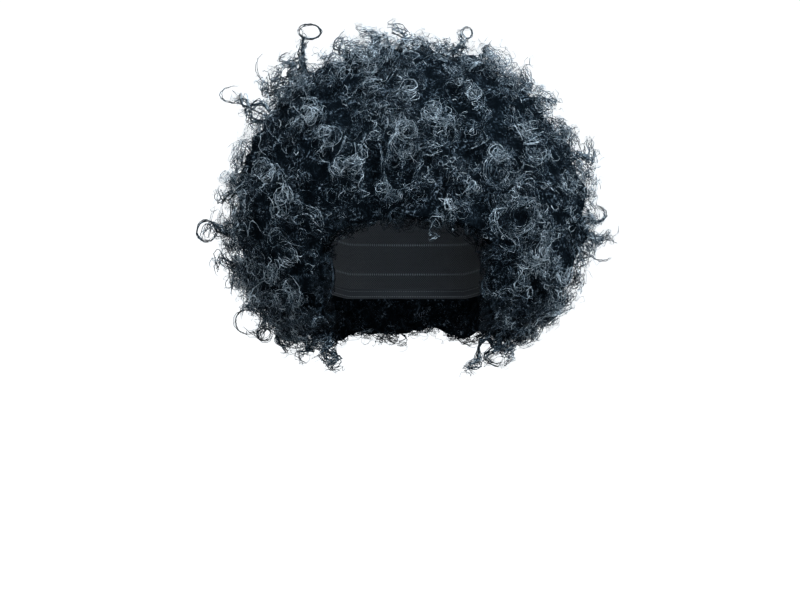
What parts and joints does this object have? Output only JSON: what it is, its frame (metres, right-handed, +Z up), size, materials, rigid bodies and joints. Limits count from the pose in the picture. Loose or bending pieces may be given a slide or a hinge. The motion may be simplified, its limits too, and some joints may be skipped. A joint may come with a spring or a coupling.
{
  "type": "afro wig",
  "caption": "Worn wig of large rounded curled hair: a hollow stretch cap with rows of curly hair round it, open below for the head and in front for the face.",
  "frame": {"origin": "the inside of the cap's crown, where the top of the head bears", "axes": "+Z up out of the crown, -Y the way the face looks, +X towards the wearer's left"},
  "size_m": [0.3467, 0.3409, 0.3006],
  "materials": {
    "cap_cloth": "matte black stretch net",
    "hair_fibre": "glossy blue-black synthetic curls"
  },
  "bodies": {
    "root": {"cap": "cap_cloth", "weft_crown": "hair_fibre", "weft_fringe": "hair_fibre", "weft_brow": "hair_fibre", "weft_cheek": "hair_fibre", "weft_nape": "hair_fibre"}
  },
  "joints": []
}
